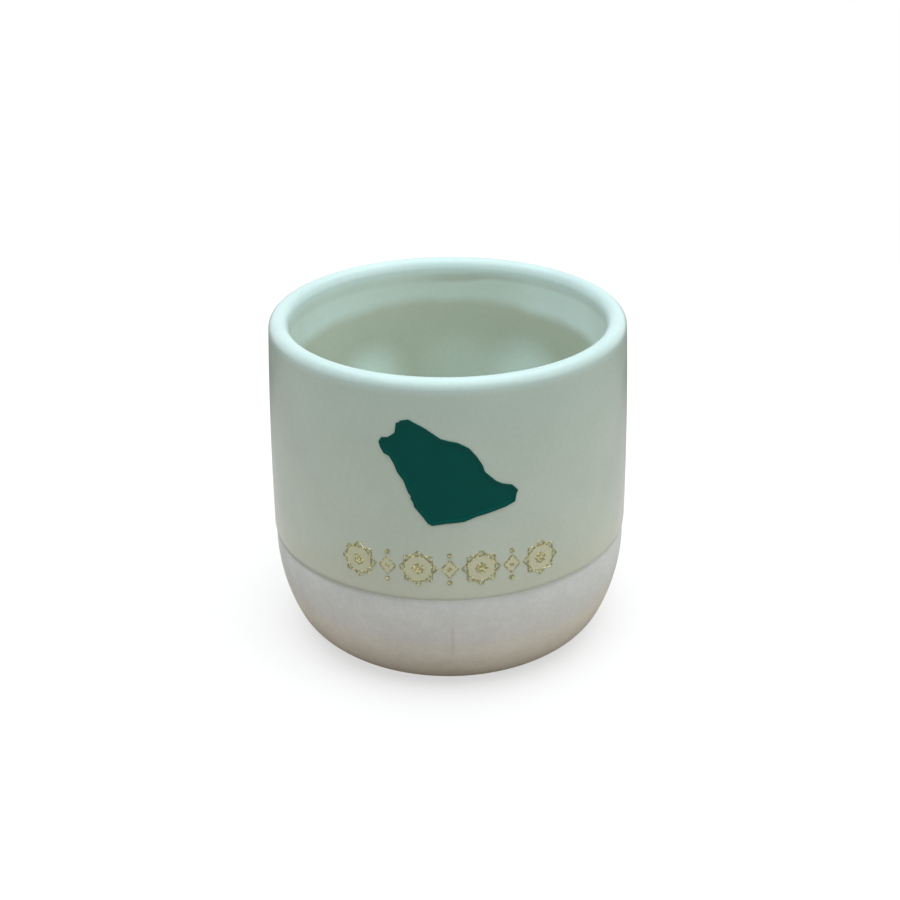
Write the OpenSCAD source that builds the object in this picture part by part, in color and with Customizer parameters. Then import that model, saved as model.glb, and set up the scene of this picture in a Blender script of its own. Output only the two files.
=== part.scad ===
// Handleless coffee cup: a cast clay body, two coats of glaze and fired-on decoration.
// Millimetres, +Z up. The origin is on the axis, in the plane that the foot stands on.
// The decorated front faces -Y.

/* [Cup] */
// Outside diameter at the lip, over the glaze
rim_d = 60; // [54:0.5:72]
// Height from the foot to the top of the lip
height = 57.5; // [52:0.5:75]
// Widest outside diameter, over the glaze
belly_d = 62.1; // [55:0.1:74]
// Height of the widest point above the foot
belly_z = 17.5; // [16:0.5:22]
// Radius of the curve that draws the side in below the belly
side_r = 31.5; // [28:0.5:42]
// Radius of the rounding between the side and the foot
heel_r = 8; // [5:0.5:12]
// Wall thickness, clay and both coats of glaze
wall_t = 3.1; // [2.4:0.1:4.4]
// Thickness of the rounded lip, clay and glaze
lip_t = 3.3; // [2.6:0.1:5]
// Height over which the lip thins to the wall, on the inside
lip_fade_h = 5; // [2:0.5:10]
// Floor thickness, clay and glaze
floor_t = 4.2; // [3:0.1:5.5]
// Radius of the rounding between the wall and the floor inside the bowl
bowl_r = 10; // [6:0.5:10]

/* [Foot] */
// Width of the ring that the cup stands on
foot_w = 3.2; // [2:0.1:5]
// Depth of the hollow inside the ring
foot_h = 0.9; // [0.4:0.1:1.5]
// Run of the sloping inner side of the ring
foot_slope = 0.7; // [0.2:0.1:1.5]

/* [Glaze] */
// Thickness of one coat
glaze_t = 0.2; // [0.1:0.05:0.4]
// Height of the dipped edge at the front
glaze_z = 20; // [16:0.5:23]
// Angle by which the dipped edge climbs to the right
glaze_tilt = 0.7; // [0:0.05:1.5]
// How far the outer coat laps down inside the lip
lap_h = 8; // [4:0.5:12]

/* [Map figure] */
// Width of the figure, measured round the wall
map_w = 21.8; // [14:0.2:26]
// Height of the figure
map_h = 17.7; // [10:0.1:18.5]
// Thickness of its raised enamel
map_t = 0.2; // [0.1:0.05:0.4]

/* [Gilded border] */
// Number of stars in the border
star_count = 4; // [2:1:6]
// Star of two crossed squares, tip to tip
star_d = 6.6; // [5:0.1:8]
// Solid gilded star in the middle of each star, tip to tip
core_d = 2.2; // [1.4:0.1:3]
// Width of the lozenge between two stars
lozenge_w = 3; // [2.4:0.1:5]
// Height of that lozenge
lozenge_h = 3.6; // [2.6:0.1:4.4]
// Dot in, above and below each lozenge
dot_d = 0.8; // [0.4:0.1:1.2]
// Gap between neighbouring motifs
motif_gap = 0.25; // [0.1:0.05:0.6]
// Width of a gilded line
gild_w = 0.3; // [0.2:0.05:0.4]
// Thickness of the gilding
gild_t = 0.15; // [0.1:0.05:0.3]
// Thickness of the pale ground in the middle of the stars and lozenges
ground_t = 0.1; // [0.05:0.05:0.2]
// Height of the border's middle above the dipped edge
border_rise = 5.8; // [5:0.1:8]

/* [Hidden] */
$fn = 128;

// How far a cutting or stamping shape runs past what it cuts
overrun = 1;

// Segments along each stretch of the section
heel_steps = 10;
side_steps = 6;
wall_steps = 5;
lip_steps = 16;
lap_steps = 8;

// The wall draws in towards the lip by this much on the radius
bow = (belly_d - rim_d) / 2;

// A stamp through the wall reaches this far from the axis
reach_r = max(belly_d, rim_d) / 2 + overrun;

// Clay under the glaze: wall, lip and belly
clay_t = wall_t - 2 * glaze_t;
clay_r = belly_d / 2 - glaze_t;
lip_r = lip_t / 2 - glaze_t;
lip_c = rim_d / 2 - lip_t / 2;
lip_z = height - lip_t / 2;
lap_z = height - lap_h;

// Outside curves of the clay: the heel arc runs smoothly into the side arc and into the foot plane
side_c = clay_r - side_r;
foot_r = side_c + sqrt(pow(side_r - heel_r, 2) - pow(belly_z - heel_r, 2));
heel_a = atan2(belly_z - heel_r, foot_r - side_c);

// Inside curves of the clay, at the wall's thickness from the outside down to the bowl's rounding
hollow_side_r = side_r - clay_t;
hollow_r = clay_r - clay_t;
hollow_c = hollow_r - hollow_side_r;
hollow_bowl_r = bowl_r + glaze_t;
bowl_z = floor_t + bowl_r;
bowl_c = hollow_c + sqrt(pow(hollow_side_r - hollow_bowl_r, 2) - pow(belly_z - bowl_z, 2));
bowl_a = atan2(belly_z - bowl_z, bowl_c - hollow_c);

// The border stands above the dipped edge, and the figure in the middle of the field between border and lip
border_z = glaze_z + border_rise;
map_z = (border_z + star_d / 2 + lip_z) / 2;

// Side of one of the two squares that make a star
star_side = star_d / sqrt(2);

// Spacing of the stars along the border
star_pitch = star_d + lozenge_w + 2 * motif_gap;

// Corners of the solid eight-pointed star, and its notch radius as a share of its tip radius
star_corners = 16;
notch_share = cos(45) / cos(22.5);

// Middle of a width or height, as a share of it
middle_share = 0.5;

// Outline of the map figure, clockwise from its top left corner: shares of its width and height
map_shares = [
    [0.128, 0.96], [0.146, 0.966], [0.156, 0.983], [0.214, 1], [0.25, 0.977], [0.325, 0.931],
    [0.385, 0.881], [0.443, 0.831], [0.5, 0.812], [0.563, 0.795], [0.645, 0.74], [0.702, 0.656],
    [0.742, 0.572], [0.76, 0.506], [0.84, 0.41], [0.887, 0.376], [0.958, 0.351], [1, 0.295],
    [0.988, 0.256], [0.98, 0.188], [0.912, 0.15], [0.778, 0.104], [0.7, 0.082], [0.605, 0.036],
    [0.48, 0.022], [0.374, 0], [0.343, 0.022], [0.3, 0.096], [0.246, 0.18], [0.238, 0.222],
    [0.222, 0.252], [0.222, 0.282], [0.205, 0.312], [0.172, 0.425], [0.142, 0.476], [0.128, 0.502],
    [0.105, 0.578], [0.073, 0.645], [0.034, 0.666], [0.01, 0.72], [0, 0.767], [0.018, 0.808],
    [0.066, 0.818], [0.09, 0.84], [0.117, 0.868], [0.122, 0.908]
];

// Points of an arc about c, from angle a0 to angle a1
function arc(c, r, a0, a1, steps) =
    [for (i = [0:steps]) let (a = a0 + (a1 - a0) * i / steps) [c[0] + r * cos(a), c[1] + r * sin(a)]];

function backwards(points) = [for (i = [len(points) - 1:-1:0]) points[i]];

// How far the bowed wall has drawn in at height z
function drawn_in(z) = bow * pow((z - belly_z) / (lip_z - belly_z), 2);

// Outside radius of the glazed wall at height z
function glazed_r(z) = belly_d / 2 - drawn_in(z);

// How far the lip stands into the bowl at height z, easing out to the plain wall below it
function lip_swell(z) =
    let (u = max(0, (z - lip_z) / lip_fade_h + 1))
    (lip_t - wall_t) * u * u * (3 - 2 * u);

// The bowed wall from belly to lip, for a wall of radius r at the belly
function wall(r) =
    [for (i = [0:wall_steps])
        let (z = belly_z + (lip_z - belly_z) * i / wall_steps)
        [r - drawn_in(z), z]];

// The inside of the clay wall under a coat t, from one height down to another
function hollow_wall(t, z_from, z_to, steps) =
    [for (i = [0:steps])
        let (z = z_from + (z_to - z_from) * i / steps)
        [hollow_r - t - drawn_in(z) - lip_swell(z), z]];

// The clay's side and wall in section, from heel to lip, grown by a coat t
function side_line(t) = concat(
    arc([side_c, belly_z], side_r + t, -heel_a, 0, side_steps),
    wall(clay_r + t)
);

// The clay's whole outside in section, from the foot over the lip, grown by a coat t
function outside_line(t) = concat(
    arc([foot_r, heel_r], heel_r + t, -90, -heel_a, heel_steps),
    side_line(t),
    arc([lip_c, lip_z], lip_r + t, 0, 180, lip_steps)
);

// The upper inside in section, under a coat t: from the lip down to the end of the lap
function lap_line(t) = hollow_wall(t, lip_z, lap_z, lap_steps);

// The rest of the inside in section, under a coat t: from the lap down to the middle of the floor
function bowl_line(t) = concat(
    hollow_wall(t, lap_z, belly_z, wall_steps),
    arc([hollow_c, belly_z], hollow_side_r - t, 0, -bowl_a, side_steps),
    arc([bowl_c, bowl_z], hollow_bowl_r - t, -bowl_a, -90, heel_steps),
    [[0, floor_t - glaze_t + t]]
);

// One coat in section, between a coated line and the bare one
module coat(coated, bare) {
    polygon(concat(coated, backwards(bare)));
}

// Everything below the dipped edge
module below_dip() {
    translate([0, 0, glaze_z])
        rotate([0, -glaze_tilt, 0])
            translate([0, 0, -height])
                cylinder(r = belly_d, h = height);
}

// A print of thickness t on the outside of the glaze, from heel to lip, all round
module print_coat(t) {
    rotate_extrude()
        coat(side_line(glaze_t + t), side_line(glaze_t));
}

// Carries an outline out through the wall at height z, turned by az from the front
module stamp(az, z, half_w) {
    start = sqrt(pow(glazed_r(z), 2) - pow(half_w, 2)) - overrun;
    rotate([0, 0, az])
        translate([0, -start, z])
            rotate([90, 0, 0])
                linear_extrude(height = reach_r - start)
                    children();
}

// The angle round the wall, in degrees, of an arc length s at height z
function turn(s, z) = s / glazed_r(z) * 180 / PI;

// Solid eight-pointed star: tips and notches take turns round it
module star(tip_r) {
    polygon([for (i = [0:star_corners - 1])
        let (a = i * 360 / star_corners, r = i % 2 == 0 ? tip_r : tip_r * notch_share)
        [r * cos(a), r * sin(a)]]);
}

module lozenge(w, h) {
    polygon([[w / 2, 0], [0, h / 2], [-w / 2, 0], [0, -h / 2]]);
}

// One of a star's two squares, turned by a, with its sides drawn in by t
module star_square(a, t) {
    rotate(a)
        square(star_side - 2 * t, center = true);
}

// The gilded lines of a star: two crossed squares
module star_lines() {
    for (a = [0, 45])
        difference() {
            star_square(a, 0);
            star_square(a, gild_w);
        }
}

// The octagon that both squares of a star enclose
module star_ground() {
    intersection() {
        star_square(0, gild_w);
        star_square(45, gild_w);
    }
}

// Inner edge of the gilded line round a lozenge
module lozenge_ground() {
    slant = norm([lozenge_w, lozenge_h]);
    lozenge(lozenge_w - 2 * gild_w * slant / lozenge_h, lozenge_h - 2 * gild_w * slant / lozenge_w);
}

// Repeats a star's stamp along the border
module along_stars() {
    for (i = [0:star_count - 1])
        stamp(turn((i - (star_count - 1) / 2) * star_pitch, border_z), border_z, star_d / 2)
            children();
}

// Repeats a lozenge's stamp between the stars
module along_lozenges() {
    for (i = [0:star_count - 2])
        stamp(turn((i - (star_count - 2) / 2) * star_pitch, border_z), border_z, lozenge_w / 2)
            children();
}

module clay_body() {
    color([0.83, 0.81, 0.77])
        rotate_extrude()
            polygon(concat(
                outside_line(0),
                lap_line(0),
                bowl_line(0),
                [[0, foot_h], [foot_r - foot_w - foot_slope, foot_h], [foot_r - foot_w, 0]]
            ));
}

module outer_glaze() {
    color([0.75, 0.81, 0.76])
        difference() {
            rotate_extrude()
                coat(
                    concat(outside_line(glaze_t), lap_line(glaze_t)),
                    concat(outside_line(0), lap_line(0))
                );
            below_dip();
        }
}

module liner_glaze() {
    color([0.73, 0.79, 0.72])
        rotate_extrude()
            coat(bowl_line(glaze_t), bowl_line(0));
}

module map_enamel() {
    r = glazed_r(map_z);
    color([0.03, 0.25, 0.23])
        intersection() {
            print_coat(map_t);
            stamp(0, map_z, r * sin(turn(map_w / 2, map_z)))
                polygon([for (p = map_shares) [
                    r * sin(turn((p[0] - middle_share) * map_w, map_z)),
                    (p[1] - middle_share) * map_h
                ]]);
        }
}

module border_ground() {
    color([0.8, 0.79, 0.66])
        intersection() {
            print_coat(ground_t);
            union() {
                along_stars()
                    difference() {
                        star_ground();
                        star(core_d / 2);
                    }
                along_lozenges()
                    difference() {
                        lozenge_ground();
                        circle(d = dot_d);
                    }
            }
        }
}

module border_gilding() {
    dot_z = lozenge_h / 2 + motif_gap + dot_d / 2;
    color([0.64, 0.55, 0.27])
        intersection() {
            print_coat(gild_t);
            union() {
                along_stars() {
                    star_lines();
                    star(core_d / 2);
                }
                along_lozenges() {
                    difference() {
                        lozenge(lozenge_w, lozenge_h);
                        lozenge_ground();
                    }
                    for (z = [-dot_z, 0, dot_z])
                        translate([0, z])
                            circle(d = dot_d);
                }
            }
        }
}

clay_body();
outer_glaze();
liner_glaze();
map_enamel();
border_ground();
border_gilding();
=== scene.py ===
import math

import bpy
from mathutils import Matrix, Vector


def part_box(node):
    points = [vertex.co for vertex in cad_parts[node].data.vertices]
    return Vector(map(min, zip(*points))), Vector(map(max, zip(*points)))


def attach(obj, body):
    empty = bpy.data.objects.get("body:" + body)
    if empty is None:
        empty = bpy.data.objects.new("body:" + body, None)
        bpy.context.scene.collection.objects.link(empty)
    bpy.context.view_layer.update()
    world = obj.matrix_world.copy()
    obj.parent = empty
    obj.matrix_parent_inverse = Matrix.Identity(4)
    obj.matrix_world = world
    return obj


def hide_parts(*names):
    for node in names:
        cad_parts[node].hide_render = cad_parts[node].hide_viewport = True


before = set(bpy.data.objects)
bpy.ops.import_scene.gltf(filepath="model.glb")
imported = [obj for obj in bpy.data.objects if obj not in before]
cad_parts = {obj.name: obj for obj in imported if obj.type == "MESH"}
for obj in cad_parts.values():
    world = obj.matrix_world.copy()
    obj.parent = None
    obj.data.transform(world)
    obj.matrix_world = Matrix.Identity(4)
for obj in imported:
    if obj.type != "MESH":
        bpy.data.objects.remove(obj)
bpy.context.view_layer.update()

# Lengths are in metres; small ones are written as millimetres
MM = 0.001

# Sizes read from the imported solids
clay_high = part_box("clay_body")[1]
glaze_low, glaze_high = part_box("outer_glaze")
liner_low, liner_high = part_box("liner_glaze")
map_low, map_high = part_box("map_enamel")
gilding_low, gilding_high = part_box("border_gilding")
HEIGHT = glaze_high.z
GLAZE_T = HEIGHT - clay_high.z
BELLY_R = clay_high.x + GLAZE_T
LAP_Z = liner_high.z
BOWL_FLOOR_Z = liner_low.z + GLAZE_T
BORDER_Z = (gilding_low.z + gilding_high.z) / 2
STAR_R = (gilding_high.z - gilding_low.z) / 2

# Curves of the section, as the solids have them
RIM_R = 30 * MM
BELLY_Z = 17.5 * MM
SIDE_R = 31.5 * MM
HEEL_R = 8 * MM
WALL_T = 3.1 * MM
LIP_T = 3.3 * MM
LIP_FADE_H = 5 * MM
BOWL_R = 10 * MM
FOOT_W = 3.2 * MM
FOOT_H = 0.9 * MM
FOOT_SLOPE = 0.7 * MM
GLAZE_TILT = math.radians(0.7)
GLAZE_Z = glaze_low.z + BELLY_R * math.sin(GLAZE_TILT)

# Places worked out from them; C is an arc's centre, and A the angle where it meets the next arc
BOW = BELLY_R - RIM_R
CLAY_R = BELLY_R - GLAZE_T
CLAY_T = WALL_T - 2 * GLAZE_T
LIP_C = RIM_R - LIP_T / 2
LIP_Z = HEIGHT - LIP_T / 2
SIDE_C = CLAY_R - SIDE_R
FOOT_R = SIDE_C + math.sqrt((SIDE_R - HEEL_R) ** 2 - (BELLY_Z - HEEL_R) ** 2)
HEEL_A = math.degrees(math.atan2(BELLY_Z - HEEL_R, FOOT_R - SIDE_C))
HOLLOW_R = CLAY_R - CLAY_T
HOLLOW_SIDE_R = SIDE_R - CLAY_T
BOWL_Z = BOWL_FLOOR_Z + BOWL_R
BOWL_C = SIDE_C + math.sqrt((HOLLOW_SIDE_R - BOWL_R - GLAZE_T) ** 2 - (BELLY_Z - BOWL_Z) ** 2)
BOWL_A = math.degrees(math.atan2(BELLY_Z - BOWL_Z, BOWL_C - SIDE_C))

# Steps round the axis and along the section, with finer ones for the coats of glaze, which show
TURN_STEPS = 192
HEEL_STEPS = 20
SIDE_STEPS = 16
BOWL_SIDE_STEPS = 4
ROLL_STEPS = 6
CLAY_WALL_STEPS = 18
CLAY_LIP_STEPS = 16
CLAY_LAP_STEPS = 8
CLAY_BOWL_STEPS = (10, 12)
COAT_WALL_STEPS = 36
COAT_LIP_STEPS = 28
COAT_LAP_STEPS = 14
COAT_BOWL_STEPS = (24, 20)

# Vertices closer than this are merged, and edges that turn by less than this angle are shaded smooth
MERGE_GAP = 0.002 * MM
SMOOTH_ANGLE = math.radians(40)

# Rounded lower edge of the dipped glaze, and how far up the edge's tilt is carried
EDGE_ROLL_H = 0.7 * MM
EDGE_CARRY_H = 1 * MM

# Rounding of the foot ring's edges
FOOT_ROUNDING = 0.25 * MM
FOOT_ROUNDING_STEPS = 3

# Mould seam down the clay, front and back, and how near to it a vertex is raised
SEAM_X = 0.4 * MM
SEAM_W = 0.7 * MM
SEAM_H = 0.06 * MM
SEAM_LOW_Z = 7 * MM
SEAM_HIGH_Z = 16.5 * MM
SEAM_REACH = 0.04 * MM

# Prints: drawn flat in front of the cup, cut at this spacing to follow the wall, and sunk a little into it
PRINT_Y = -2 * BELLY_R
CUT_STEP = 0.8 * MM
SINK_T = 0.04 * MM
PRINT_ROUNDING_STEPS = 2

# Map figure, with a bead along its outline
MAP_T = 0.2 * MM
MAP_CREST_W = 0.3 * MM
MAP_SLOPE_W = 0.25 * MM
MAP_BEAD_H = 0.17 * MM
MAP_ROUNDING = 0.03 * MM

# Its outline, clockwise from its top left corner: shares of its width and height
MAP_SHARES = [
    (0.128, 0.96), (0.146, 0.966), (0.156, 0.983), (0.214, 1), (0.25, 0.977), (0.325, 0.931),
    (0.385, 0.881), (0.443, 0.831), (0.5, 0.812), (0.563, 0.795), (0.645, 0.74), (0.702, 0.656),
    (0.742, 0.572), (0.76, 0.506), (0.84, 0.41), (0.887, 0.376), (0.958, 0.351), (1, 0.295),
    (0.988, 0.256), (0.98, 0.188), (0.912, 0.15), (0.778, 0.104), (0.7, 0.082), (0.605, 0.036),
    (0.48, 0.022), (0.374, 0), (0.343, 0.022), (0.3, 0.096), (0.246, 0.18), (0.238, 0.222),
    (0.222, 0.252), (0.222, 0.282), (0.205, 0.312), (0.172, 0.425), (0.142, 0.476), (0.128, 0.502),
    (0.105, 0.578), (0.073, 0.645), (0.034, 0.666), (0.01, 0.72), (0, 0.767), (0.018, 0.808),
    (0.066, 0.818), (0.09, 0.84), (0.117, 0.868), (0.122, 0.908),
]

# Border of line-drawn stars, each of two crossed squares, with a lozenge and its dots between stars
STAR_COUNT = 4
STAR_POINTS = 8
CORE_R = 1.1 * MM
LOZENGE_W = 3 * MM
LOZENGE_H = 3.6 * MM
DOT_R = 0.4 * MM
DOT_CORNERS = 16
MOTIF_GAP = 0.25 * MM
FILL_T = 0.1 * MM
GILD_T = 0.15 * MM
GILD_ROUNDING = 0.05 * MM
GILD_W = 0.3 * MM
GILD_CORNER = 0.2 * MM
GILD_CORNER_STEPS = 3
GILD_CUTS = 14
GILD_ROUND_STEPS = 2

# Its spacing, the share at which a star's notches lie, and the sizes along the middle of the lines
STAR_PITCH = 2 * STAR_R + LOZENGE_W + 2 * MOTIF_GAP
NOTCH_SHARE = math.cos(math.tau / STAR_POINTS) / math.cos(math.pi / STAR_POINTS)
STAR_LINE_R = STAR_R - GILD_W / math.sqrt(2)
LOZENGE_SLANT = math.hypot(LOZENGE_W, LOZENGE_H)
LOZENGE_LINE_W = LOZENGE_W - GILD_W * LOZENGE_SLANT / LOZENGE_H
LOZENGE_LINE_H = LOZENGE_H - GILD_W * LOZENGE_SLANT / LOZENGE_W

# Noise keeps about between these values, and a soft spot or line has its full strength over this share
NOISE_LOW = 0.3
NOISE_HIGH = 0.7
SOFT_CORE = 0.2

# Gloss of both coats of glaze
GLAZE_GLOSS = {"roughness": 0.21, "specular": 0.3}

# Tones over the lip and on its inner side, the heights where they come in, and the blend at the top.
# Over the lip the paler tone is partly a thinner glaze and partly a painted highlight of the cool top
# light;
# the paler inner side is painted light on the lip's inner rounding
LIP_TONE = (0.56, 0.72, 0.71)
LIP_TONE_Z = (55.9 * MM, 57 * MM)
LIP_SIDE_PAINTED_LIGHT = (0.7, 0.86, 0.85)
LIP_SIDE_Z = (54.3 * MM, 55.8 * MM)
LIP_BLEND = 0.5 * MM

# Glaze on the wall, and bare clay: heights and tones. The glaze darkens up the wall towards the lip, which
# is painted shade, and its darker tone at its lower edge is a painted shadow under the rolled edge. The
# clay is browner towards the foot, partly its own warmer tone and partly painted shade where it turns
# under, and its darker top is a painted shadow under the glaze's edge
GLAZE_TONES = [
    (19.5 * MM, (0.5, 0.525, 0.42)),
    (20.6 * MM, (0.55, 0.565, 0.46)),
    (26 * MM, (0.535, 0.575, 0.49)),
    (33 * MM, (0.505, 0.562, 0.485)),
    (46 * MM, (0.478, 0.55, 0.475)),
    (55 * MM, (0.45, 0.537, 0.47)),
    (57.3 * MM, LIP_TONE),
]
CLAY_TONES = [
    (0 * MM, (0.41, 0.335, 0.24)),
    (2.5 * MM, (0.6, 0.515, 0.415)),
    (6 * MM, (0.73, 0.66, 0.555)),
    (9 * MM, (0.785, 0.73, 0.64)),
    (12 * MM, (0.725, 0.7, 0.655)),
    (19 * MM, (0.65, 0.655, 0.645)),
    (19.9 * MM, (0.6, 0.6, 0.575)),
]

# Clay at the sides, just under the glaze, paler there as painted side light, and where it comes in:
# distances to the side, and heights
CLAY_SIDE_PAINTED_LIGHT = (0.71, 0.715, 0.7)
CLAY_SIDE_X = (10 * MM, 26 * MM)
CLAY_SIDE_Z = (12 * MM, 17 * MM)

# Painted shadow along the glaze's lower edge, under its rolled edge: its strength at each side, and where
# that comes in
EDGE_LINE_W = 0.9 * MM
EDGE_LINE_CORE = 0.3
EDGE_LINE_LEFT = 0.7
EDGE_LINE_LEFT_X = (0, -28 * MM)
EDGE_LINE_RIGHT = 0.4
EDGE_LINE_RIGHT_X = (5 * MM, 25 * MM)
EDGE_SHADOW_TONE = (0.38, 0.39, 0.33)

# Tint of the seam, which fades at both ends
SEAM_TINT_W = 0.5 * MM
SEAM_TINT = 0.14
SEAM_FADE = 3 * MM
SEAM_TONE = (0.36, 0.24, 0.19)

# Inside of the bowl: olive, and paler under the lip down to a soft edge that drops towards the front
OLIVE_TONE = (0.59, 0.65, 0.555)
PALE_TONE = (0.73, 0.85, 0.79)
PALE_Z = 46.15 * MM
PALE_FADE = 1.4 * MM
PALE_SLOPE = 0.125
PALE_WOBBLE = 0.3 * MM
PALE_WOBBLE_SIZE = 10 * MM
PALE_LEFT_RISE = 0.6 * MM
PALE_LEFT_RISE_X = (-12 * MM, -22 * MM)

# The paler tone at each side of the bowl, painted light falling in over the lip from the opposite side,
# and where it comes in
LEFT_PAINTED_LIGHT = (0.74, 0.88, 0.845)
LEFT_TONE_X = (-8 * MM, -20 * MM)
RIGHT_PAINTED_LIGHT = (0.82, 0.97, 0.96)
RIGHT_TONE_X = (8 * MM, 20 * MM)

# Paler patches, painted reflections on the glossy inner wall: place, reach and strength
PAINTED_REFLECTION_TONE = (0.8, 0.95, 0.93)
PAINTED_REFLECTIONS = [
    ((-14.3 * MM, 22.4 * MM, 34.5 * MM), 9.5 * MM, 1),
    ((14.5 * MM, 22.3 * MM, 35 * MM), 10.5 * MM, 1),
    ((3 * MM, 26.4 * MM, 34 * MM), 12 * MM, 0.35),
]

# Soft dark line under the lip, partly an uneven glaze mark and partly painted shade under the lip's swell,
# higher towards the right and strongest at its middle
LIP_LINE_Z = 54.1 * MM
LIP_LINE_W = 1.4 * MM
LIP_LINE_RISE = 0.9 * MM
LIP_LINE_RISE_X = (2 * MM, 9 * MM)
LIP_LINE_STRENGTH = (0.22, 0.4)
LIP_LINE_STRENGTH_X = (-15 * MM, 6 * MM)
LIP_LINE_MIDDLE = (5 * MM, 25.5 * MM, 54.3 * MM)
LIP_LINE_MIDDLE_REACH = 13 * MM
LIP_LINE_MIDDLE_GAIN = 0.35
LIP_LINE_TONE = (0.53, 0.6, 0.53)

# Pairs of tones that mottle the enamels and the gold, and the noise between which the gold's specks come in
ENAMEL_TONES = ((0.0005, 0.064, 0.053), (0.001, 0.076, 0.064))
FILL_TONES = ((0.52, 0.515, 0.35), (0.62, 0.615, 0.45))
GOLD_TONES = ((0.22, 0.205, 0.1), (0.6, 0.57, 0.34))
GOLD_SPECKS = (0.42, 0.72)

# Camera, fitted to the photograph, with its lens and sensor in Blender's millimetres
CAMERA_ELEVATION = math.radians(26.203)
CAMERA_DISTANCE = 247.77 * MM
CAMERA_AIM_X = 0.2 * MM
CAMERA_AIM_Z = 31.55 * MM
CAMERA_ROLL = math.radians(-0.52)
CAMERA_LENS = 56.36
CAMERA_SENSOR = 36

# Light, as bright as a white surface at its level: soft lights have a place, side, level and tint
FILL_LEVEL = 0.34
SOFT_LIGHTS = {
    "top_light": ((0.05, 0, 1.6), 2.4, 2.1, (0.93, 0.99, 1)),
    "right_light": ((1.3, -0.5, 0.6), 1.0, 1.35, (0.97, 1, 0.96)),
    "left_light": ((-1.3, -0.3, 0.35), 1.0, 0.42, (1, 1, 1)),
    "front_light": ((-0.5, -1.1, 1.0), 1.0, 0.15, (1, 1, 1)),
}

# Floor, just under the foot: the share of it that takes shadows where it is seen, and its fade to white
FLOOR_SIZE = 6
FLOOR_DROP = 0.02 * MM
FLOOR_SHADE = 0.4
WHITE_NEAR = 100 * MM
WHITE_FAR = 300 * MM

# Light that the floor throws back, by distance from the cup's axis
FLOOR_TONES = [(30 * MM, (0.25, 0.24, 0.225)), (65 * MM, (0.47, 0.455, 0.43))]

# Glowing sheet behind the cup, no lamp, seen only in the cup's gloss, where it shows as a darker room:
# distances back and greys
CLOTH_SIZE = 900 * MM
CLOTH_RISE = 0.1 * MM
CLOTH_GREYS = [(0, 1), (25 * MM, 0.8), (50 * MM, 0.65), (75 * MM, 0.48), (95 * MM, 0.2)]


# Section of the cup

def even_steps(start, end, steps):
    return [start + (end - start) * i / steps for i in range(steps + 1)]


def arc(centre, radius, start, end, steps):
    """Points (r, z) of an arc in the section, from one angle to another in degrees."""
    angles = [math.radians(a) for a in even_steps(start, end, steps)]
    return [(centre[0] + radius * math.cos(a), centre[1] + radius * math.sin(a)) for a in angles]


def drawn_in(z):
    """How far the bowed wall has drawn in at height z."""
    return BOW * ((z - BELLY_Z) / (LIP_Z - BELLY_Z)) ** 2


def lip_swell(z):
    """How far the lip stands into the bowl at height z, easing out to the plain wall below it."""
    u = max(0, (z - LIP_Z) / LIP_FADE_H + 1)
    return (LIP_T - WALL_T) * u * u * (3 - 2 * u)


def outer_wall(coat, start, end, steps):
    """Points along the outside between two heights, this coat's thickness off the clay."""
    return [(CLAY_R + coat - drawn_in(z), z) for z in even_steps(start, end, steps)]


def inner_wall(coat, start, end, steps):
    """Points along the inside between two heights, this coat's thickness off the clay."""
    return [(HOLLOW_R - coat - drawn_in(z) - lip_swell(z), z) for z in even_steps(start, end, steps)]


def lip(coat, steps):
    """Points over the lip from outside to inside, this coat's thickness off the clay."""
    return arc((LIP_C, LIP_Z), LIP_T / 2 - GLAZE_T + coat, 0, 180, steps)


def bowl(coat, wall_steps, curve_steps):
    """Points of the inside below the lap, down to the middle of the bowl's floor."""
    return (
        inner_wall(coat, LAP_Z, BELLY_Z, wall_steps)
        + arc((SIDE_C, BELLY_Z), HOLLOW_SIDE_R - coat, 0, -BOWL_A, BOWL_SIDE_STEPS)[1:]
        + arc((BOWL_C, BOWL_Z), BOWL_R + GLAZE_T - coat, -BOWL_A, -90, curve_steps)[1:]
        + [(0, BOWL_FLOOR_Z - GLAZE_T + coat)]
    )


# Modelling steps

def start_piece(name, add, **size):
    """Adds a primitive by its operator, alone in the selection, and names it."""
    bpy.ops.object.select_all(action="DESELECT")
    add(**size)
    piece = bpy.context.object
    piece.name = name
    piece.data.name = name
    return piece


def select_only(pieces):
    """Selects these pieces alone, and makes the first one active."""
    bpy.ops.object.select_all(action="DESELECT")
    for piece in pieces:
        piece.select_set(True)
    bpy.context.view_layer.objects.active = pieces[0]


def pick(piece, test):
    """Leaves selected, in edit mode, just the vertices whose place passes the test."""
    bpy.ops.object.mode_set(mode="EDIT")
    bpy.ops.mesh.select_mode(type="VERT")
    bpy.ops.mesh.select_all(action="DESELECT")
    bpy.ops.object.mode_set(mode="OBJECT")
    for vertex in piece.data.vertices:
        vertex.select = test(vertex.co)
    bpy.ops.object.mode_set(mode="EDIT")


def draw_chain(name, points):
    """A chain of vertices through the points, drawn from one vertex by extruding it along."""
    piece = start_piece(name, bpy.ops.mesh.primitive_plane_add, size=MM)
    bpy.ops.object.mode_set(mode="EDIT")
    bpy.ops.mesh.merge(type="CENTER")
    bpy.ops.transform.translate(value=points[0])
    for last, point in zip(points, points[1:]):
        step = [b - a for a, b in zip(last, point)]
        bpy.ops.mesh.extrude_region_move(TRANSFORM_OT_translate={"value": step})
    bpy.ops.mesh.select_all(action="SELECT")
    return piece


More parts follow.
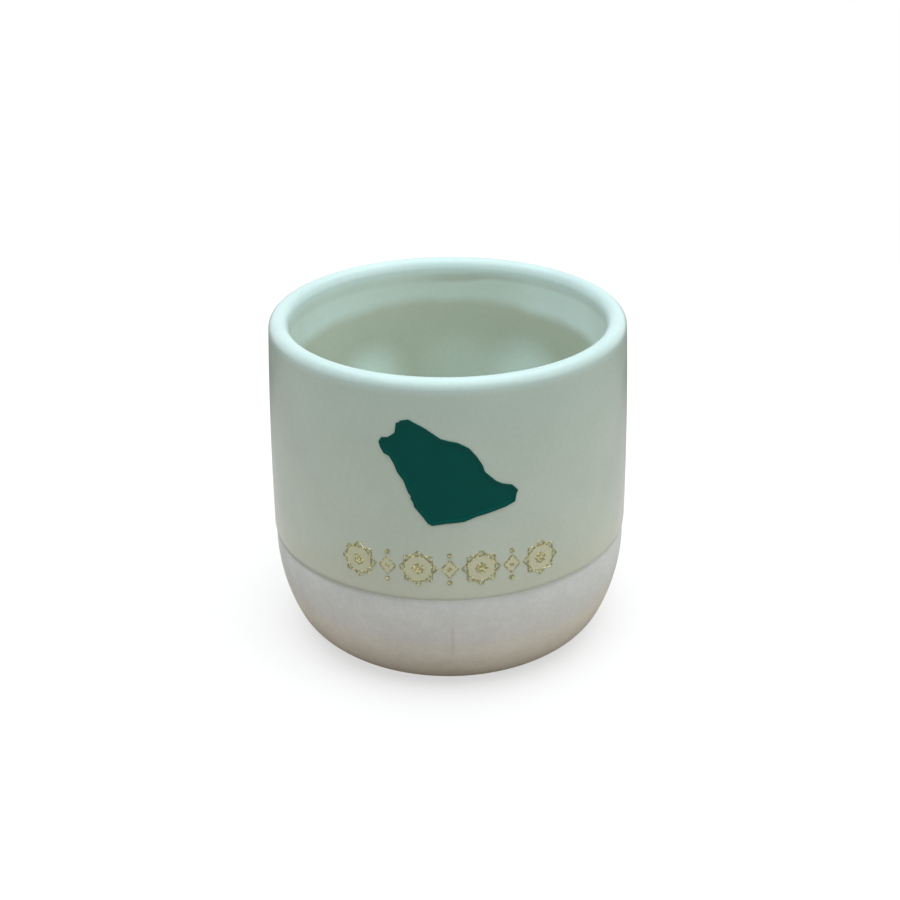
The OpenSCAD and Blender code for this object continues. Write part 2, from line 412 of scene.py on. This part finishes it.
def turn_on_axis(name, section):
    """A solid turned about the cup's axis from its section's points (r, z)."""
    piece = draw_chain(name, [(r, 0, z) for r, z in section])
    bpy.ops.mesh.spin(steps=TURN_STEPS, angle=math.tau, center=(0, 0, 0), axis=(0, 0, 1))
    bpy.ops.mesh.select_all(action="SELECT")
    bpy.ops.mesh.remove_doubles(threshold=MERGE_GAP)
    bpy.ops.mesh.normals_make_consistent(inside=False)
    bpy.ops.object.mode_set(mode="OBJECT")
    return piece


def apply_modifier(piece, kind, **settings):
    modifier = piece.modifiers.new(kind.lower(), kind)
    for name, value in settings.items():
        setattr(modifier, name, value)
    bpy.context.view_layer.objects.active = piece
    bpy.ops.object.modifier_apply(modifier=modifier.name)


def round_edges(piece, width, steps):
    apply_modifier(piece, "BEVEL", width=width, segments=steps, limit_method="ANGLE")


def finish_piece(piece, material, node):
    """Shades the piece, gives it its finish and puts it in the place of its CAD node."""
    select_only([piece])
    bpy.ops.object.shade_smooth_by_angle(angle=SMOOTH_ANGLE)
    piece.data.materials.clear()
    piece.data.materials.append(material)
    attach(piece, "root")
    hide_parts(node)


# Pieces of fired clay and glaze

def make_clay():
    """The cast pot, turned from the hollow inside its foot round over the lip to the floor of its bowl."""
    section = (
        [(0, FOOT_H), (FOOT_R - FOOT_W - FOOT_SLOPE, FOOT_H), (FOOT_R - FOOT_W, 0)]
        + arc((FOOT_R, HEEL_R), HEEL_R, -90, -HEEL_A, HEEL_STEPS)
        + arc((SIDE_C, BELLY_Z), SIDE_R, -HEEL_A, 0, SIDE_STEPS)[1:]
        + outer_wall(0, BELLY_Z, LIP_Z, CLAY_WALL_STEPS)[1:]
        + lip(0, CLAY_LIP_STEPS)[1:]
        + inner_wall(0, LIP_Z, LAP_Z, CLAY_LAP_STEPS)[1:]
        + bowl(0, *CLAY_BOWL_STEPS)[1:]
    )
    piece = turn_on_axis("cast_clay", section)
    round_edges(piece, FOOT_ROUNDING, FOOT_ROUNDING_STEPS)
    raise_seam(piece)
    return piece


def beyond_foot(co):
    return math.hypot(co.x, co.y) > FOOT_R


def on_seam(co):
    return abs(co.x - SEAM_X) < SEAM_REACH and SEAM_LOW_Z < co.z < SEAM_HIGH_Z and beyond_foot(co)


def raise_seam(piece):
    """A low ridge where the halves of the mould met, down the front and the back of the bare clay."""
    for x in (SEAM_X - SEAM_W / 2, SEAM_X, SEAM_X + SEAM_W / 2):
        pick(piece, lambda co: co.z < GLAZE_Z and beyond_foot(co))
        bpy.ops.mesh.bisect(plane_co=(x, 0, 0), plane_no=(1, 0, 0))
        bpy.ops.object.mode_set(mode="OBJECT")
    pick(piece, on_seam)
    bpy.ops.transform.shrink_fatten(value=SEAM_H)
    bpy.ops.object.mode_set(mode="OBJECT")


def make_outer_glaze():
    """The dipped coat, from its rolled and tilted edge up over the lip to the lap."""
    edge_r = CLAY_R - drawn_in(GLAZE_Z)
    angles = [math.radians(a) for a in even_steps(0, 90, ROLL_STEPS)]
    roll = [(edge_r + GLAZE_T * math.sin(a), GLAZE_Z + EDGE_ROLL_H * (1 - math.cos(a))) for a in angles]
    section = (
        roll[:-1]
        + outer_wall(GLAZE_T, GLAZE_Z + EDGE_ROLL_H, LIP_Z, COAT_WALL_STEPS)
        + lip(GLAZE_T, COAT_LIP_STEPS)[1:]
        + inner_wall(GLAZE_T, LIP_Z, LAP_Z, COAT_LAP_STEPS)[1:]
        + inner_wall(0, LAP_Z, LIP_Z, COAT_LAP_STEPS)
        + list(reversed(lip(0, COAT_LIP_STEPS)))[1:]
        + outer_wall(0, LIP_Z, GLAZE_Z, COAT_WALL_STEPS)[1:]
    )
    piece = turn_on_axis("dipped_glaze", section)
    pick(piece, lambda co: co.z < GLAZE_Z + EDGE_CARRY_H)
    bpy.ops.transform.rotate(value=GLAZE_TILT, orient_axis="Y", center_override=(0, 0, GLAZE_Z))
    bpy.ops.object.mode_set(mode="OBJECT")
    return piece


def make_liner():
    """The poured coat, from the lap down over the floor of the bowl."""
    section = bowl(GLAZE_T, *COAT_BOWL_STEPS) + list(reversed(bowl(0, *COAT_BOWL_STEPS)))
    return turn_on_axis("poured_liner", section)


# Prints on the wall

def cut_into_strips(piece):
    """Cuts a flat print upright and level, so that it can follow the wall."""
    low = [min(v.co[i] for v in piece.data.vertices) for i in range(3)]
    high = [max(v.co[i] for v in piece.data.vertices) for i in range(3)]
    bpy.context.view_layer.objects.active = piece
    bpy.ops.object.mode_set(mode="EDIT")
    for axis in (0, 2):
        normal = [float(i == axis) for i in range(3)]
        count = int((high[axis] - low[axis]) / CUT_STEP)
        for i in range(1, count + 1):
            place = [0, 0, 0]
            place[axis] = low[axis] + (high[axis] - low[axis]) * i / (count + 1)
            bpy.ops.mesh.select_all(action="SELECT")
            bpy.ops.mesh.bisect(plane_co=place, plane_no=normal)
    bpy.ops.object.mode_set(mode="OBJECT")


def press_back(piece, wall):
    """Moves each vertex of a flat print straight back onto the wall."""
    apply_modifier(
        piece, "SHRINKWRAP", target=wall, wrap_method="PROJECT", use_project_y=True,
        use_positive_direction=True, use_negative_direction=False,
    )


def lay_on_wall(piece, wall, thickness, **relief):
    """Presses a flat print back onto the wall and raises it to its thickness."""
    cut_into_strips(piece)
    press_back(piece, wall)
    apply_modifier(piece, "DISPLACE", strength=-SINK_T, mid_level=0)
    apply_modifier(piece, "SOLIDIFY", thickness=thickness + SINK_T, offset=1, **relief)


def draw_flat(name, points):
    """A flat print in front of the wall, from its outline's points (x, z)."""
    piece = draw_chain(name, [(x, PRINT_Y, z) for x, z in points])
    bpy.ops.mesh.edge_face_add()
    bpy.ops.mesh.normals_make_consistent(inside=False)
    bpy.ops.object.mode_set(mode="OBJECT")
    return piece


def flat_disc(name, corners, width, height, z, turn=0, fill="NGON"):
    """A flat print with evenly spaced corners, in front of the wall at height z."""
    piece = start_piece(
        name, bpy.ops.mesh.primitive_circle_add, vertices=corners, radius=1, fill_type=fill,
        location=(0, PRINT_Y, z), rotation=(math.pi / 2, turn, 0),
    )
    piece.scale = (width / 2, height / 2, 1)
    bpy.ops.object.transform_apply(location=True, rotation=True, scale=True)
    return piece


def flat_star(name, tip_r):
    """A flat star: a disc whose every other corner is drawn in to a notch."""
    corners = 2 * STAR_POINTS
    piece = flat_disc(name, corners, 2 * tip_r, 2 * tip_r, BORDER_Z)
    step = math.tau / corners
    pick(piece, lambda co: round(math.atan2(co.z - BORDER_Z, co.x) / step) % 2 == 1)
    bpy.ops.transform.resize(value=(NOTCH_SHARE,) * 3, center_override=(0, PRINT_Y, BORDER_Z))
    bpy.ops.object.mode_set(mode="OBJECT")
    return piece


def raised_line(name, wall, width, height, turn=0):
    """A four-cornered gilded line on the wall, half a round wire with rounded corners."""
    line = flat_disc(name, 4, width, height, BORDER_Z, turn, fill="NOTHING")
    bpy.ops.object.mode_set(mode="EDIT")
    bpy.ops.mesh.select_all(action="SELECT")
    bpy.ops.mesh.bevel(offset=GILD_CORNER, segments=GILD_CORNER_STEPS, affect="VERTICES")
    bpy.ops.mesh.select_all(action="SELECT")
    bpy.ops.mesh.subdivide(number_cuts=GILD_CUTS)
    bpy.ops.object.mode_set(mode="OBJECT")
    press_back(line, wall)
    bpy.ops.object.convert(target="CURVE")
    line = bpy.context.object
    line.data.bevel_depth = GILD_W / 2
    line.data.bevel_resolution = GILD_ROUND_STEPS
    bpy.ops.object.convert(target="MESH")
    return bpy.context.object


def border_places(count):
    """Distances along the border of this many motifs, spaced as the stars are, about its middle."""
    return [(i - (count - 1) / 2) * STAR_PITCH for i in range(count)]


def copy_round(piece, places):
    """Copies of a print at these distances along the border, each turned about the cup's axis."""
    copies = []
    for distance in places:
        select_only([piece])
        bpy.ops.object.duplicate()
        copy = bpy.context.object
        copy.rotation_euler = (0, 0, distance / BELLY_R)
        bpy.ops.object.transform_apply(location=False, rotation=True, scale=False)
        copies.append(copy)
    bpy.data.objects.remove(piece)
    return copies


def join(name, pieces):
    select_only(pieces)
    bpy.ops.object.join()
    pieces[0].name = name
    pieces[0].data.name = name
    return pieces[0]


def make_map(wall):
    """The map figure in thick enamel, with a raised bead along its outline."""
    width = map_high.x - map_low.x
    height = map_high.z - map_low.z
    points = [(map_low.x + width * u, map_low.z + height * v) for u, v in MAP_SHARES]
    piece = draw_flat("map_figure", points)
    bpy.ops.object.mode_set(mode="EDIT")
    bpy.ops.mesh.select_mode(type="FACE")
    bpy.ops.mesh.select_all(action="SELECT")
    bpy.ops.mesh.inset(thickness=MAP_CREST_W)
    bpy.ops.mesh.inset(thickness=MAP_SLOPE_W)
    # The bead's crest goes in a group of its own, without the field inside it, and gets the full thickness
    bpy.ops.mesh.select_all(action="INVERT")
    bpy.ops.object.vertex_group_add()
    bpy.ops.object.vertex_group_assign()
    bpy.ops.mesh.select_all(action="INVERT")
    bpy.ops.object.vertex_group_remove_from()
    bpy.ops.object.mode_set(mode="OBJECT")
    bead_share = MAP_BEAD_H / (MAP_T + SINK_T)
    lay_on_wall(piece, wall, MAP_T, vertex_group="Group", thickness_vertex_group=1 - bead_share)
    round_edges(piece, MAP_ROUNDING, PRINT_ROUNDING_STEPS)
    return piece


def make_border(wall):
    """The gilded lines and the pale ground inside them."""
    star_d = 2 * STAR_LINE_R
    turns = (0, math.tau / STAR_POINTS)
    squares = [raised_line("square", wall, star_d, star_d, turn) for turn in turns]
    lozenge = raised_line("lozenge", wall, LOZENGE_LINE_W, LOZENGE_LINE_H)
    core = flat_star("core", CORE_R)
    dot_rise = LOZENGE_H / 2 + MOTIF_GAP + DOT_R
    heights = (BORDER_Z - dot_rise, BORDER_Z, BORDER_Z + dot_rise)
    dots = [flat_disc("dot", DOT_CORNERS, 2 * DOT_R, 2 * DOT_R, z) for z in heights]
    for piece in (core, *dots):
        lay_on_wall(piece, wall, GILD_T)
        round_edges(piece, GILD_ROUNDING, PRINT_ROUNDING_STEPS)
    ground_d = star_d * NOTCH_SHARE
    star_ground = flat_disc(
        "star_ground", STAR_POINTS, ground_d, ground_d, BORDER_Z, math.pi / STAR_POINTS,
    )
    lozenge_ground = flat_disc("lozenge_ground", 4, LOZENGE_LINE_W, LOZENGE_LINE_H, BORDER_Z)
    for piece in (star_ground, lozenge_ground):
        lay_on_wall(piece, wall, FILL_T)
    star_places = border_places(STAR_COUNT)
    lozenge_places = border_places(STAR_COUNT - 1)
    lines = []
    for piece in (*squares, core):
        lines += copy_round(piece, star_places)
    for piece in (lozenge, *dots):
        lines += copy_round(piece, lozenge_places)
    grounds = copy_round(star_ground, star_places) + copy_round(lozenge_ground, lozenge_places)
    return join("gilded_lines", lines), join("border_fill", grounds)


# Finishes

def tones_along(nodes, links, value, tones, length):
    """A colour that changes with a value, from a list of (value, colour) for values up to this length."""
    share = nodes.new("ShaderNodeMath")
    share.operation = "DIVIDE"
    share.inputs[1].default_value = length
    links.new(value, share.inputs[0])
    node = nodes.new("ShaderNodeValToRGB")
    links.new(share.outputs[0], node.inputs[0])
    stops = node.color_ramp.elements
    while len(stops) < len(tones):
        stops.new(1)
    for stop, (place, colour) in zip(stops, tones):
        stop.position = place / length
        stop.color = (*colour, 1)
    return node.outputs["Color"]


class Finish:
    """A material with its shader, and short calls that add the nodes of its pattern."""

    def __init__(self, name, roughness, specular=0.5, metallic=0.0):
        self.material = bpy.data.materials.new(name)
        self.material.use_nodes = True
        self.nodes = self.material.node_tree.nodes
        self.links = self.material.node_tree.links
        self.shader = self.nodes["Principled BSDF"]
        self.shader.inputs["Roughness"].default_value = roughness
        self.shader.inputs["Specular IOR Level"].default_value = specular
        self.shader.inputs["Metallic"].default_value = metallic
        self.place = self.nodes.new("ShaderNodeTexCoord").outputs["Object"]
        split = self.nodes.new("ShaderNodeSeparateXYZ")
        self.links.new(self.place, split.inputs[0])
        self.x, self.y, self.z = split.outputs

    def put(self, socket, value):
        """Feeds a socket from another node, or sets it."""
        if isinstance(value, bpy.types.NodeSocket):
            self.links.new(value, socket)
        else:
            socket.default_value = value

    def calc(self, operation, first, second=0.0):
        """A number worked out from one or two others."""
        node = self.nodes.new("ShaderNodeMath")
        node.operation = operation
        self.put(node.inputs[0], first)
        self.put(node.inputs[1], second)
        return node.outputs[0]

    def vector(self, operation, place, other=(0, 0, 0)):
        """A vector sum on a place, whose outputs are a vector and a value."""
        node = self.nodes.new("ShaderNodeVectorMath")
        node.operation = operation
        self.links.new(place, node.inputs[0])
        node.inputs[1].default_value = other
        return node.outputs

    def from_axis(self):
        """Distance from the cup's axis."""
        level = self.vector("MULTIPLY", self.place, (1, 1, 0))["Vector"]
        return self.vector("LENGTH", level)["Value"]

    def ease(self, value, start, end, from_number=0.0, to_number=1.0):
        """Goes softly from one number to another as the value goes from start to end."""
        node = self.nodes.new("ShaderNodeMapRange")
        node.interpolation_type = "SMOOTHSTEP"
        self.links.new(value, node.inputs["Value"])
        node.inputs["From Min"].default_value = start
        node.inputs["From Max"].default_value = end
        node.inputs["To Min"].default_value = from_number
        node.inputs["To Max"].default_value = to_number
        return node.outputs["Result"]

    def near(self, place, reach):
        """A value of 1 about a place, fading to 0 at this reach from it."""
        return self.ease(self.vector("DISTANCE", self.place, place)["Value"], reach, SOFT_CORE * reach)

    def band(self, value, middle, reach, core=SOFT_CORE):
        """A value of 1 along a middle value, fading to 0 at this reach on either side."""
        off = self.calc("ABSOLUTE", self.calc("SUBTRACT", value, middle))
        return self.ease(off, reach, core * reach)

    def noise(self, size, detail=2):
        """Soft blotches of about this size."""
        node = self.nodes.new("ShaderNodeTexNoise")
        node.inputs["Scale"].default_value = 1 / size
        node.inputs["Detail"].default_value = detail
        self.links.new(self.place, node.inputs["Vector"])
        return node.outputs["Fac"]

    def wander(self, low, high, size, detail=2):
        """A number that wanders from low to high, in soft blotches of about this size."""
        return self.ease(self.noise(size, detail), NOISE_LOW, NOISE_HIGH, low, high)

    def by_height(self, tones):
        """A colour that changes with height, from a list of (z, colour)."""
        return tones_along(self.nodes, self.links, self.z, tones, HEIGHT)

    def mix(self, share, first, second):
        """Goes from one colour to another as the share goes from 0 to 1."""
        node = self.nodes.new("ShaderNodeMix")
        node.data_type = "RGBA"
        sockets = [i for i in node.inputs if i.type == "RGBA"]
        self.links.new(share, node.inputs["Factor"])
        for socket, value in zip(sockets, (first, second)):
            self.put(socket, value if isinstance(value, bpy.types.NodeSocket) else (*value, 1))
        return next(o for o in node.outputs if o.type == "RGBA")

    def mottle(self, colour, share, size, detail=2):
        """Darkens and lightens a colour by up to this share, in soft blotches of about this size."""
        node = self.nodes.new("ShaderNodeVectorMath")
        node.operation = "SCALE"
        self.links.new(colour, node.inputs[0])
        self.links.new(self.wander(1 - share, 1 + share, size, detail), node.inputs["Scale"])
        return node.outputs[0]

    def colour(self, value):
        self.links.new(value, self.shader.inputs["Base Color"])

    def uneven_gloss(self, spread, size, detail=2):
        """Lets the roughness wander by up to this spread about its mean."""
        roughness = self.shader.inputs["Roughness"]
        low = roughness.default_value - spread
        high = roughness.default_value + spread
        self.links.new(self.wander(low, high, size, detail), roughness)

    def ripple(self, depth, size, detail=2):
        """Fine relief of this depth."""
        node = self.nodes.new("ShaderNodeBump")
        node.inputs["Distance"].default_value = depth
        self.links.new(self.noise(size, detail), node.inputs["Height"])
        self.links.new(node.outputs[0], self.shader.inputs["Normal"])


def lip_line(finish):
    """Strength of the soft dark line under the lip, which is partly painted shade."""
    line_z = finish.calc("ADD", finish.ease(finish.x, *LIP_LINE_RISE_X, 0, LIP_LINE_RISE), LIP_LINE_Z)
    strength = finish.ease(finish.x, *LIP_LINE_STRENGTH_X, *LIP_LINE_STRENGTH)
    middle = finish.near(LIP_LINE_MIDDLE, LIP_LINE_MIDDLE_REACH)
    strength = finish.calc("ADD", strength, finish.ease(middle, 0, 1, 0, LIP_LINE_MIDDLE_GAIN))
    return finish.calc("MULTIPLY", finish.band(finish.z, line_z, LIP_LINE_W), strength)


def bowl_tone(finish):
    """Tone of the inside: olive, and pale under the lip, with painted light at the sides, painted
    reflections and the dark line under the lip, which is partly painted shade.
    """
    level = finish.calc("SUBTRACT", finish.z, finish.calc("MULTIPLY", finish.y, PALE_SLOPE))
    level = finish.calc("ADD", level, finish.wander(-PALE_WOBBLE, PALE_WOBBLE, PALE_WOBBLE_SIZE))
    rise = finish.ease(finish.x, *PALE_LEFT_RISE_X, 0, PALE_LEFT_RISE)
    level = finish.calc("SUBTRACT", level, rise)
    # Painted light on each side of the bowl
    pale = finish.mix(finish.ease(finish.x, *LEFT_TONE_X), PALE_TONE, LEFT_PAINTED_LIGHT)
    pale = finish.mix(finish.ease(finish.x, *RIGHT_TONE_X), pale, RIGHT_PAINTED_LIGHT)
    is_pale = finish.ease(level, PALE_Z - PALE_FADE, PALE_Z + PALE_FADE)
    colour = finish.mix(is_pale, OLIVE_TONE, pale)
    # Painted reflections on the glossy inner wall
    for place, reach, strength in PAINTED_REFLECTIONS:
        patch = finish.calc("MULTIPLY", finish.near(place, reach), strength)
        colour = finish.mix(patch, colour, PAINTED_REFLECTION_TONE)
    return finish.mix(lip_line(finish), colour, LIP_LINE_TONE)


def painted_edge_shadow(finish):
    """Strength of the painted shadow along the glaze's tilted lower edge."""
    level = finish.calc("SUBTRACT", finish.z, finish.calc("MULTIPLY", finish.x, math.sin(GLAZE_TILT)))
    line = finish.band(level, GLAZE_Z, EDGE_LINE_W, EDGE_LINE_CORE)
    left = finish.ease(finish.x, *EDGE_LINE_LEFT_X, 0, EDGE_LINE_LEFT)
    right = finish.ease(finish.x, *EDGE_LINE_RIGHT_X, 0, EDGE_LINE_RIGHT)
    return finish.calc("MULTIPLY", line, finish.calc("ADD", left, right))


def seam_tint(finish):
    """Strength of the seam's tint, which fades at both ends."""
    tint = finish.calc("MULTIPLY", finish.band(finish.x, SEAM_X, SEAM_TINT_W), SEAM_TINT)
    top = finish.ease(finish.z, SEAM_HIGH_Z, SEAM_HIGH_Z - SEAM_FADE)
    foot = finish.ease(finish.z, SEAM_LOW_Z, SEAM_LOW_Z + SEAM_FADE)
    return finish.calc("MULTIPLY", tint, finish.calc("MULTIPLY", top, foot))


def glaze_surface(finish, colour):
    """Clouding and fine grain in the colour, and the faint ripple and uneven gloss of fired glaze."""
    colour = finish.mottle(colour, share=0.025, size=14 * MM)
    colour = finish.mottle(colour, share=0.015, size=0.7 * MM)
    finish.colour(colour)
    finish.uneven_gloss(spread=0.05, size=6 * MM, detail=3)
    finish.ripple(depth=0.02 * MM, size=2.5 * MM)


def celadon_finish():
    """Grey-green glaze, paler over the lip, partly a thinner glaze and partly a painted highlight."""
    finish = Finish("celadon_glaze", **GLAZE_GLOSS)
    # Painted shade up the wall towards the lip, and the painted shadow along the glaze's lower edge
    outside = finish.mix(painted_edge_shadow(finish), finish.by_height(GLAZE_TONES), EDGE_SHADOW_TONE)
    # Painted light on the lip's inner rounding, and over the lip a tone that is partly a painted highlight
    inside = finish.mix(finish.ease(finish.z, *LIP_SIDE_Z), bowl_tone(finish), LIP_SIDE_PAINTED_LIGHT)
    inside = finish.mix(finish.ease(finish.z, *LIP_TONE_Z), inside, LIP_TONE)
    is_inside = finish.ease(finish.from_axis(), LIP_C + LIP_BLEND, LIP_C - LIP_BLEND)
    glaze_surface(finish, finish.mix(is_inside, outside, inside))
    return finish.material


def liner_finish():
    """Olive glaze poured over the bowl."""
    finish = Finish("olive_liner", **GLAZE_GLOSS)
    glaze_surface(finish, bowl_tone(finish))
    return finish.material


def clay_finish():
    """Bare fired clay: mottled and grainy, lilac grey above, browner and darker towards the foot, partly
    its own tone and partly painted shade.
    """
    finish = Finish("bare_clay", roughness=0.865, specular=0.2)
    # Painted side light on the clay just under the glaze
    sides = finish.ease(finish.calc("ABSOLUTE", finish.x), *CLAY_SIDE_X)
    sides = finish.calc("MULTIPLY", sides, finish.ease(finish.z, *CLAY_SIDE_Z))
    colour = finish.mix(sides, finish.by_height(CLAY_TONES), CLAY_SIDE_PAINTED_LIGHT)
    # The painted shadow under the glaze's edge reaches onto the clay
    colour = finish.mix(painted_edge_shadow(finish), colour, EDGE_SHADOW_TONE)
    colour = finish.mottle(colour, share=0.03, size=5 * MM, detail=4)
    colour = finish.mottle(colour, share=0.02, size=1.2 * MM, detail=3)
    colour = finish.mottle(colour, share=0.03, size=0.3 * MM)
    finish.colour(finish.mix(seam_tint(finish), colour, SEAM_TONE))
    finish.uneven_gloss(spread=0.085, size=2 * MM, detail=3)
    finish.ripple(depth=0.05 * MM, size=0.35 * MM, detail=3)
    return finish.material


def enamel_finish():
    """Dark teal enamel."""
    finish = Finish("teal_enamel", roughness=0.35, specular=0.06)
    finish.colour(finish.mix(finish.noise(size=3 * MM, detail=3), *ENAMEL_TONES))
    finish.ripple(depth=0.01 * MM, size=0.5 * MM)
    return finish.material


def fill_finish():
    """Pale yellow enamel inside the gilded lines."""
    finish = Finish("pale_enamel", roughness=0.4, specular=0.3)
    finish.colour(finish.mix(finish.noise(size=0.8 * MM, detail=3), *FILL_TONES))
    finish.ripple(depth=0.02 * MM, size=0.5 * MM)
    return finish.material


def gilding_finish():
    """Dull fired gold with bright specks."""
    finish = Finish("fired_gold", roughness=0.375, metallic=1.0)
    specks = finish.ease(finish.noise(size=0.35 * MM, detail=3), *GOLD_SPECKS)
    finish.colour(finish.mix(specks, *GOLD_TONES))
    finish.uneven_gloss(spread=0.125, size=0.4 * MM)
    finish.ripple(depth=0.02 * MM, size=0.3 * MM)
    return finish.material


# Studio

def place_camera():
    back = CAMERA_DISTANCE * math.cos(CAMERA_ELEVATION)
    rise = CAMERA_DISTANCE * math.sin(CAMERA_ELEVATION)
    bpy.ops.object.camera_add(location=(CAMERA_AIM_X, -back, CAMERA_AIM_Z + rise))
    camera = bpy.context.object
    camera.rotation_mode = "ZYX"
    camera.rotation_euler = (math.pi / 2 - CAMERA_ELEVATION, 0, CAMERA_ROLL)
    camera.data.lens = CAMERA_LENS
    camera.data.sensor_width = CAMERA_SENSOR
    camera.data.clip_start = MM
    bpy.context.scene.camera = camera


def add_soft_light(name, place, side, level, tint):
    """A square soft light turned to the cup. Its face is as bright as a white surface at that level."""
    bpy.ops.object.light_add(type="AREA", location=place)
    light = bpy.context.object
    light.name = name
    light.data.shape = "SQUARE"
    light.data.size = side
    light.data.energy = level * math.pi * side * side
    light.data.color = tint
    light.rotation_mode = "QUATERNION"
    light.rotation_quaternion = Vector(place).to_track_quat("Z", "Y")
    light.visible_camera = False


def seen_as_background(nodes, links):
    """A value of 1 for camera, glossy and transmission rays, and 0 for rays that only carry light."""
    path = nodes.new("ShaderNodeLightPath")
    seen = path.outputs["Is Camera Ray"]
    for name in ("Is Glossy Ray", "Is Transmission Ray"):
        either = nodes.new("ShaderNodeMath")
        either.operation = "MAXIMUM"
        links.new(seen, either.inputs[0])
        links.new(path.outputs[name], either.inputs[1])
        seen = either.outputs[0]
    return seen


def mix_shaders(nodes, links, share, first, second):
    """Goes from one shader to another as the share goes from 0 to 1."""
    mix = nodes.new("ShaderNodeMixShader")
    for output, socket in zip((share, first, second), mix.inputs):
        links.new(output, socket)
    return mix.outputs[0]


def light_room():
    """A white background that lights the cup at the fill's own level."""
    world = bpy.data.worlds.new("white_room")
    bpy.context.scene.world = world
    world.use_nodes = True
    nodes, links = world.node_tree.nodes, world.node_tree.links
    nodes.clear()
    shaders = []
    for level in (FILL_LEVEL, 1):
        background = nodes.new("ShaderNodeBackground")
        background.inputs["Color"].default_value = (1, 1, 1, 1)
        background.inputs["Strength"].default_value = level
        shaders.append(background.outputs[0])
    room = mix_shaders(nodes, links, seen_as_background(nodes, links), *shaders)
    links.new(room, nodes.new("ShaderNodeOutputWorld").inputs["Surface"])


def give_bare_material(piece, name):
    """Gives a piece of the studio an empty material, and returns what its shader is made with."""
    material = bpy.data.materials.new(name)
    material.use_nodes = True
    nodes, links = material.node_tree.nodes, material.node_tree.links
    nodes.clear()
    piece.data.materials.append(material)
    place = nodes.new("ShaderNodeTexCoord").outputs["Object"]
    surface = nodes.new("ShaderNodeOutputMaterial").inputs["Surface"]
    return nodes, links, place, surface


def lay_floor():
    """A floor that throws less light near the foot and, where it is seen, fades to white."""
    floor = start_piece(
        "floor", bpy.ops.mesh.primitive_plane_add, size=FLOOR_SIZE, location=(0, 0, -FLOOR_DROP),
    )
    nodes, links, place, surface = give_bare_material(floor, "pale_floor")
    length = nodes.new("ShaderNodeVectorMath")
    length.operation = "LENGTH"
    links.new(place, length.inputs[0])
    away = length.outputs["Value"]
    bounce = nodes.new("ShaderNodeBsdfDiffuse")
    links.new(tones_along(nodes, links, away, FLOOR_TONES, WHITE_FAR), bounce.inputs["Color"])
    pale = nodes.new("ShaderNodeBsdfDiffuse")
    pale.inputs["Color"].default_value = (FLOOR_SHADE, FLOOR_SHADE, FLOOR_SHADE, 1)
    glow = nodes.new("ShaderNodeEmission")
    glow.inputs["Strength"].default_value = 1 - FLOOR_SHADE
    shaded = nodes.new("ShaderNodeAddShader")
    links.new(pale.outputs[0], shaded.inputs[0])
    links.new(glow.outputs[0], shaded.inputs[1])
    to_white = nodes.new("ShaderNodeMapRange")
    to_white.interpolation_type = "SMOOTHSTEP"
    to_white.inputs["From Min"].default_value = WHITE_NEAR
    to_white.inputs["From Max"].default_value = WHITE_FAR
    links.new(away, to_white.inputs["Value"])
    white = nodes.new("ShaderNodeEmission")
    seen = mix_shaders(nodes, links, to_white.outputs["Result"], shaded.outputs[0], white.outputs[0])
    links.new(mix_shaders(nodes, links, seen_as_background(nodes, links), bounce.outputs[0], seen), surface)


def lay_dark_cloth():
    """A glowing sheet behind the cup, darker away from it, that is seen only in the gloss along the cup's
    edges.
    """
    cloth = start_piece(
        "glowing_gloss_sheet", bpy.ops.mesh.primitive_plane_add, size=CLOTH_SIZE,
        location=(0, CLOTH_SIZE / 2, CLOTH_RISE),
    )
    bpy.ops.object.transform_apply(location=True, rotation=False, scale=False)
    nodes, links, place, surface = give_bare_material(cloth, "glowing_gloss_sheet")
    split = nodes.new("ShaderNodeSeparateXYZ")
    links.new(place, split.inputs[0])
    tones = [(distance, (grey, grey, grey)) for distance, grey in CLOTH_GREYS]
    glow = nodes.new("ShaderNodeEmission")
    links.new(tones_along(nodes, links, split.outputs["Y"], tones, CLOTH_SIZE), glow.inputs["Color"])
    links.new(glow.outputs[0], surface)
    cloth.visible_camera = False
    cloth.visible_diffuse = False
    cloth.visible_transmission = False
    cloth.visible_shadow = False


place_camera()
light_room()
lay_floor()
lay_dark_cloth()
for name, settings in SOFT_LIGHTS.items():
    add_soft_light(name, *settings)

clay = make_clay()
glaze = make_outer_glaze()
liner = make_liner()
map_figure = make_map(glaze)
gilded_lines, border_fill = make_border(glaze)
finish_piece(clay, clay_finish(), "clay_body")
finish_piece(glaze, celadon_finish(), "outer_glaze")
finish_piece(liner, liner_finish(), "liner_glaze")
finish_piece(map_figure, enamel_finish(), "map_enamel")
finish_piece(border_fill, fill_finish(), "border_ground")
finish_piece(gilded_lines, gilding_finish(), "border_gilding")

bpy.context.scene.view_settings.view_transform = "Standard"
